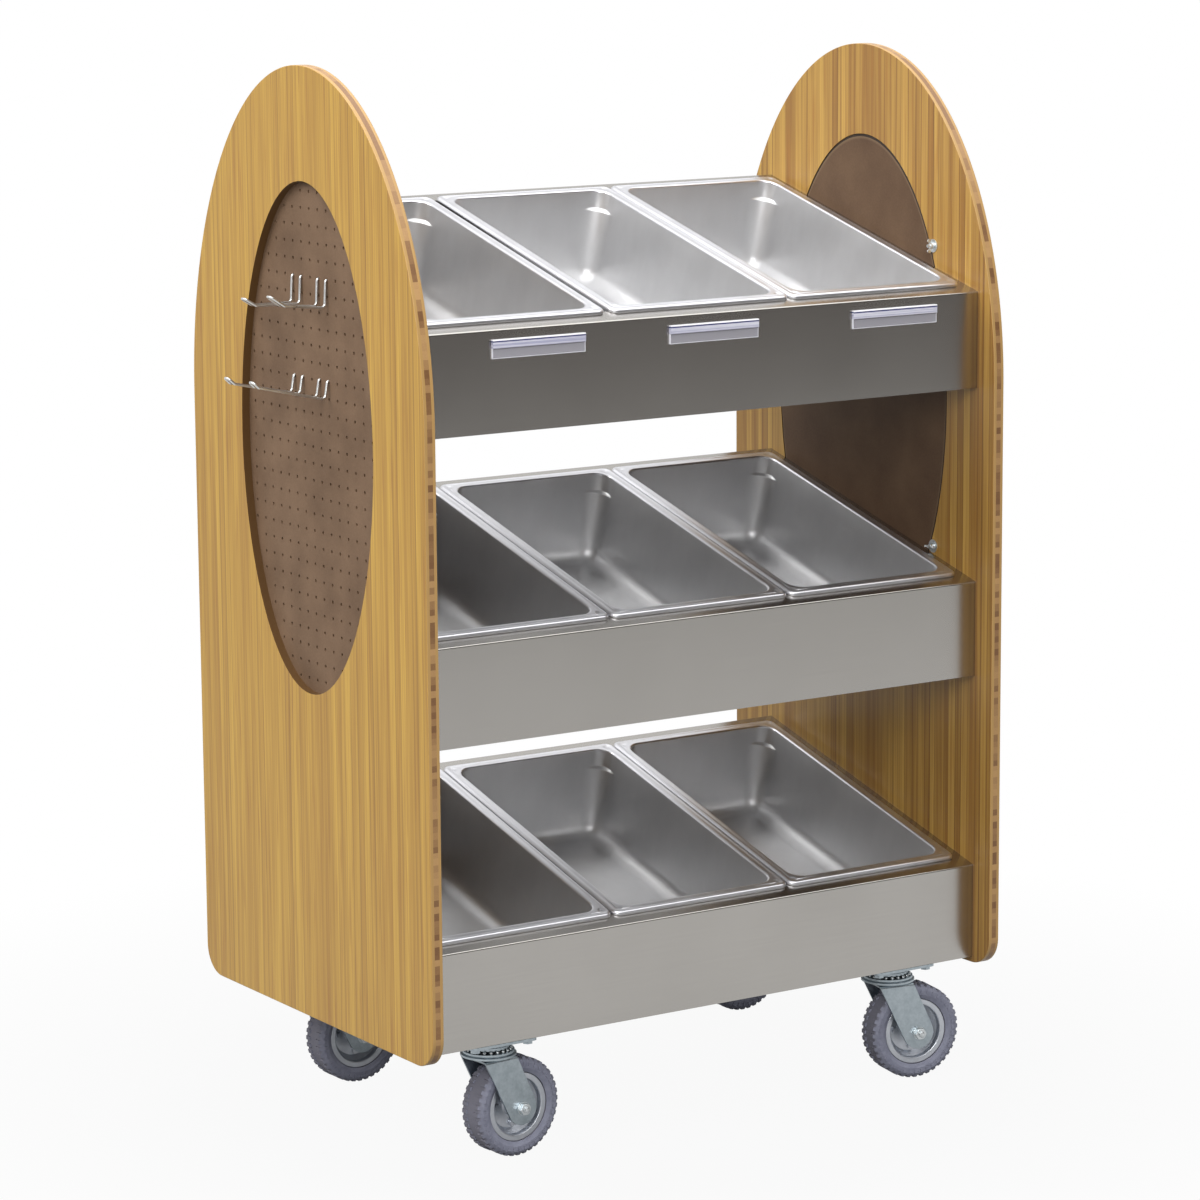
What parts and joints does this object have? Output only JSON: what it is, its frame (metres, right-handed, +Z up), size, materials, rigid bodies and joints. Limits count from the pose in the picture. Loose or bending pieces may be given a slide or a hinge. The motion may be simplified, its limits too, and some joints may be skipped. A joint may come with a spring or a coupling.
{
  "type": "merchandising cart",
  "caption": "Rolling display cart with arched bamboo side panels, inclined stainless trays of lift-out food pans, a perforated hook board and swivel casters.",
  "frame": {"origin": "on the floor under the middle of the cart, midway between the side panels", "axes": "+X to the right of someone facing the front aprons, +Y to the back, +Z up"},
  "size_m": [1.1623, 0.7, 1.63],
  "materials": {
    "bamboo_ply": "clear-coated bamboo plywood",
    "hardboard": "smooth brown hardboard",
    "stainless_sheet": "brushed",
    "stainless_pan": "satin drawn",
    "zinc_steel": "zinc plated",
    "bright_wire": "bright plated wire",
    "clear_plastic": "clear extruded",
    "grey_tyre": "moulded grey rubber",
    "nylon": "moulded"
  },
  "bodies": {
    "cart": {"left_side_panel": "bamboo_ply", "right_side_panel": "bamboo_ply", "perforated_disc": "hardboard", "plain_disc": "hardboard", "disc_studs": "zinc_steel", "disc_washers": "zinc_steel", "disc_wing_nuts": "zinc_steel", "tray_screws": "zinc_steel", "caster_kingpins": "zinc_steel", "caster_plate_bolts": "zinc_steel", "upper_front_hook": "bright_wire", "upper_rear_hook": "bright_wire", "lower_front_hook": "bright_wire", "lower_rear_hook": "bright_wire", "bottom_front_apron": "stainless_sheet", "bottom_rear_rail": "stainless_sheet", "bottom_side_ledges": "stainless_sheet", "middle_front_apron": "stainless_sheet", "middle_rear_rail": "stainless_sheet", "middle_side_ledges": "stainless_sheet", "top_front_apron": "stainless_sheet", "top_rear_rail": "stainless_sheet", "top_side_ledges": "stainless_sheet", "base_plate": "stainless_sheet", "left_label_holder": "clear_plastic", "middle_label_holder": "clear_plastic", "right_label_holder": "clear_plastic", "front_left_caster_plate": "zinc_steel", "front_right_caster_plate": "zinc_steel", "rear_left_caster_plate": "zinc_steel", "rear_right_caster_plate": "zinc_steel"},
    "front_left_caster": {"front_left_fork": "zinc_steel", "front_left_axle": "zinc_steel"},
    "front_left_wheel": {"front_left_wheel_rim": "zinc_steel", "front_left_tyre": "grey_tyre", "front_left_wheel_bushing": "nylon"},
    "front_right_caster": {"front_right_fork": "zinc_steel", "front_right_axle": "zinc_steel"},
    "front_right_wheel": {"front_right_wheel_rim": "zinc_steel", "front_right_tyre": "grey_tyre", "front_right_wheel_bushing": "nylon"},
    "rear_left_caster": {"rear_left_fork": "zinc_steel", "rear_left_axle": "zinc_steel"},
    "rear_left_wheel": {"rear_left_wheel_rim": "zinc_steel", "rear_left_tyre": "grey_tyre", "rear_left_wheel_bushing": "nylon"},
    "rear_right_caster": {"rear_right_fork": "zinc_steel", "rear_right_axle": "zinc_steel"},
    "rear_right_wheel": {"rear_right_wheel_rim": "zinc_steel", "rear_right_tyre": "grey_tyre", "rear_right_wheel_bushing": "nylon"},
    "bottom_left_pan": {"bottom_left_pan": "stainless_pan"},
    "bottom_centre_pan": {"bottom_centre_pan": "stainless_pan"},
    "bottom_right_pan": {"bottom_right_pan": "stainless_pan"},
    "middle_left_pan": {"middle_left_pan": "stainless_pan"},
    "middle_centre_pan": {"middle_centre_pan": "stainless_pan"},
    "middle_right_pan": {"middle_right_pan": "stainless_pan"},
    "top_left_pan": {"top_left_pan": "stainless_pan"},
    "top_centre_pan": {"top_centre_pan": "stainless_pan"},
    "top_right_pan": {"top_right_pan": "stainless_pan"}
  },
  "joints": [
    {"name": "front_left_swivel", "type": "hinge", "parent": "cart", "child": "front_left_caster", "pos_m": [-0.374, -0.258, 0.165], "axis": [0, 0, 1], "continuous": true},
    {"name": "front_left_roll", "type": "hinge", "parent": "front_left_caster", "child": "front_left_wheel", "pos_m": [-0.3342, -0.25403, 0.0762], "axis": [-0.0993, 0.9951, 0], "continuous": true},
    {"name": "front_right_swivel", "type": "hinge", "parent": "cart", "child": "front_right_caster", "pos_m": [0.374, -0.258, 0.165], "axis": [0, 0, 1], "continuous": true},
    {"name": "front_right_roll", "type": "hinge", "parent": "front_right_caster", "child": "front_right_wheel", "pos_m": [0.41345, -0.2646, 0.0762], "axis": [0.165, 0.9863, 0], "continuous": true},
    {"name": "rear_left_swivel", "type": "hinge", "parent": "cart", "child": "rear_left_caster", "pos_m": [-0.374, 0.22, 0.165], "axis": [0, 0, 1], "continuous": true},
    {"name": "rear_left_roll", "type": "hinge", "parent": "rear_left_caster", "child": "rear_left_wheel", "pos_m": [-0.33401, 0.22105, 0.0762], "axis": [-0.0262, 0.9997, 0], "continuous": true},
    {"name": "rear_right_swivel", "type": "hinge", "parent": "cart", "child": "rear_right_caster", "pos_m": [0.374, 0.22, 0.165], "axis": [0, 0, 1], "continuous": true},
    {"name": "rear_right_roll", "type": "hinge", "parent": "rear_right_caster", "child": "rear_right_wheel", "pos_m": [0.41398, 0.2186, 0.0762], "axis": [0.0349, 0.9994, 0], "continuous": true},
    {"name": "bottom_left_pan_lift", "type": "slide", "parent": "cart", "child": "bottom_left_pan", "axis": [0, -0.2588, 0.9659], "range_m": [0, 0.17]},
    {"name": "bottom_centre_pan_lift", "type": "slide", "parent": "cart", "child": "bottom_centre_pan", "axis": [0, -0.2588, 0.9659], "range_m": [0, 0.17]},
    {"name": "bottom_right_pan_lift", "type": "slide", "parent": "cart", "child": "bottom_right_pan", "axis": [0, -0.2588, 0.9659], "range_m": [0, 0.17]},
    {"name": "middle_left_pan_lift", "type": "slide", "parent": "cart", "child": "middle_left_pan", "axis": [0, -0.2588, 0.9659], "range_m": [0, 0.17]},
    {"name": "middle_centre_pan_lift", "type": "slide", "parent": "cart", "child": "middle_centre_pan", "axis": [0, -0.2588, 0.9659], "range_m": [0, 0.17]},
    {"name": "middle_right_pan_lift", "type": "slide", "parent": "cart", "child": "middle_right_pan", "axis": [0, -0.2588, 0.9659], "range_m": [0, 0.17]},
    {"name": "top_left_pan_lift", "type": "slide", "parent": "cart", "child": "top_left_pan", "axis": [0, -0.2588, 0.9659], "range_m": [0, 0.17]},
    {"name": "top_centre_pan_lift", "type": "slide", "parent": "cart", "child": "top_centre_pan", "axis": [0, -0.2588, 0.9659], "range_m": [0, 0.17]},
    {"name": "top_right_pan_lift", "type": "slide", "parent": "cart", "child": "top_right_pan", "axis": [0, -0.2588, 0.9659], "range_m": [0, 0.17]}
  ]
}
